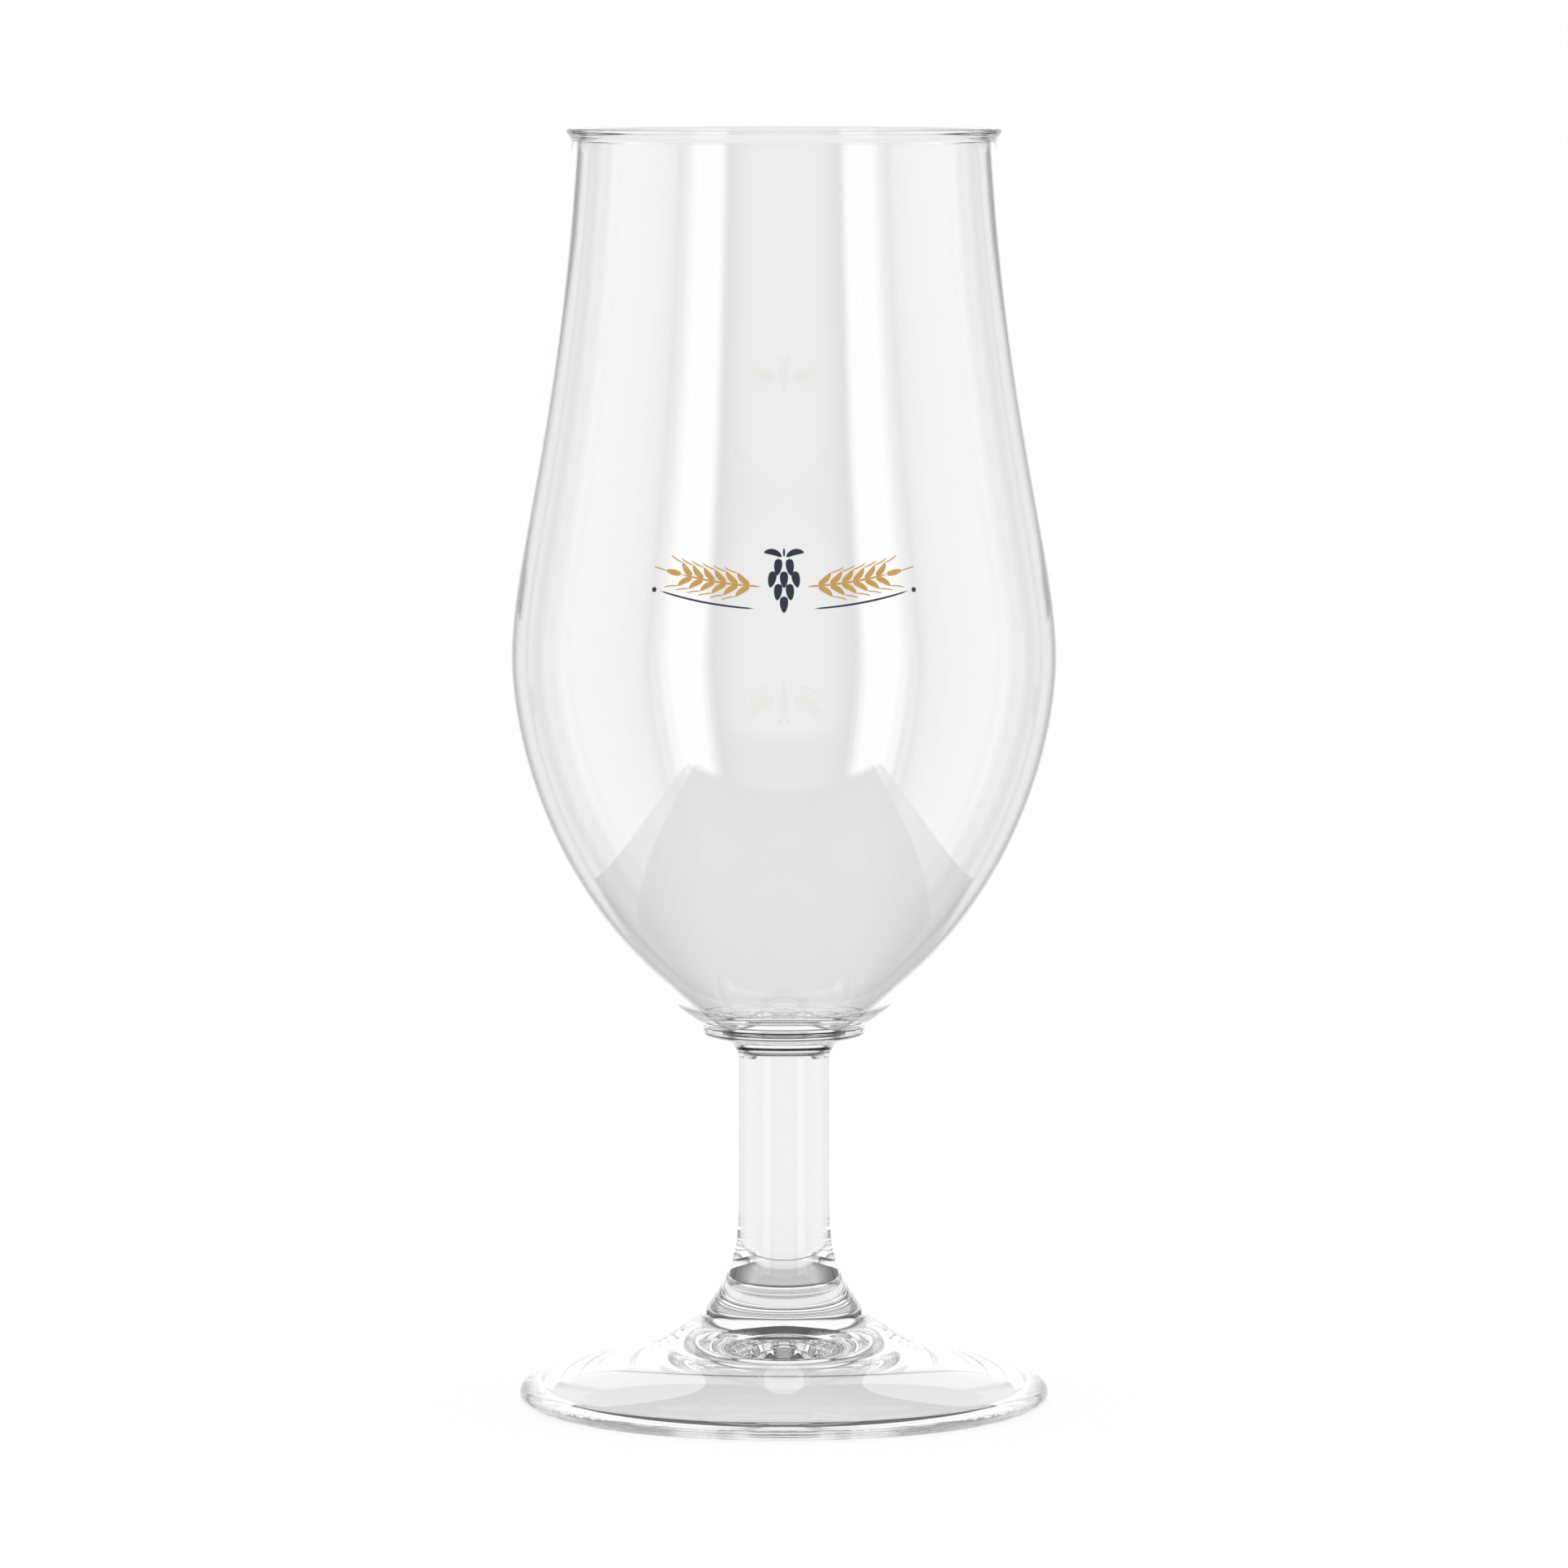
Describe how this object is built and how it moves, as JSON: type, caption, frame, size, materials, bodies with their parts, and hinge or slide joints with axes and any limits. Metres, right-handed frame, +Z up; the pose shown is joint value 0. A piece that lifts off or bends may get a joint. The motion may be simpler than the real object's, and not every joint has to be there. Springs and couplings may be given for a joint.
{
  "type": "beer glass",
  "caption": "Clear stemmed tulip beer glass: tall full-bellied bowl with a beaded lip, a collar, a short round stem and a wide round foot with a hollowed underside.",
  "frame": {"origin": "centre of the foot's resting ring, on the table plane", "axes": "+Z up along the glass's turning axis; X and Y level, any turn about Z is alike"},
  "size_m": [0.08, 0.08, 0.183],
  "materials": {
    "clear_glass": "fire-polished clear soda-lime glass"
  },
  "bodies": {
    "root": {"bowl": "clear_glass", "collar": "clear_glass", "stem": "clear_glass", "foot": "clear_glass"}
  },
  "joints": []
}
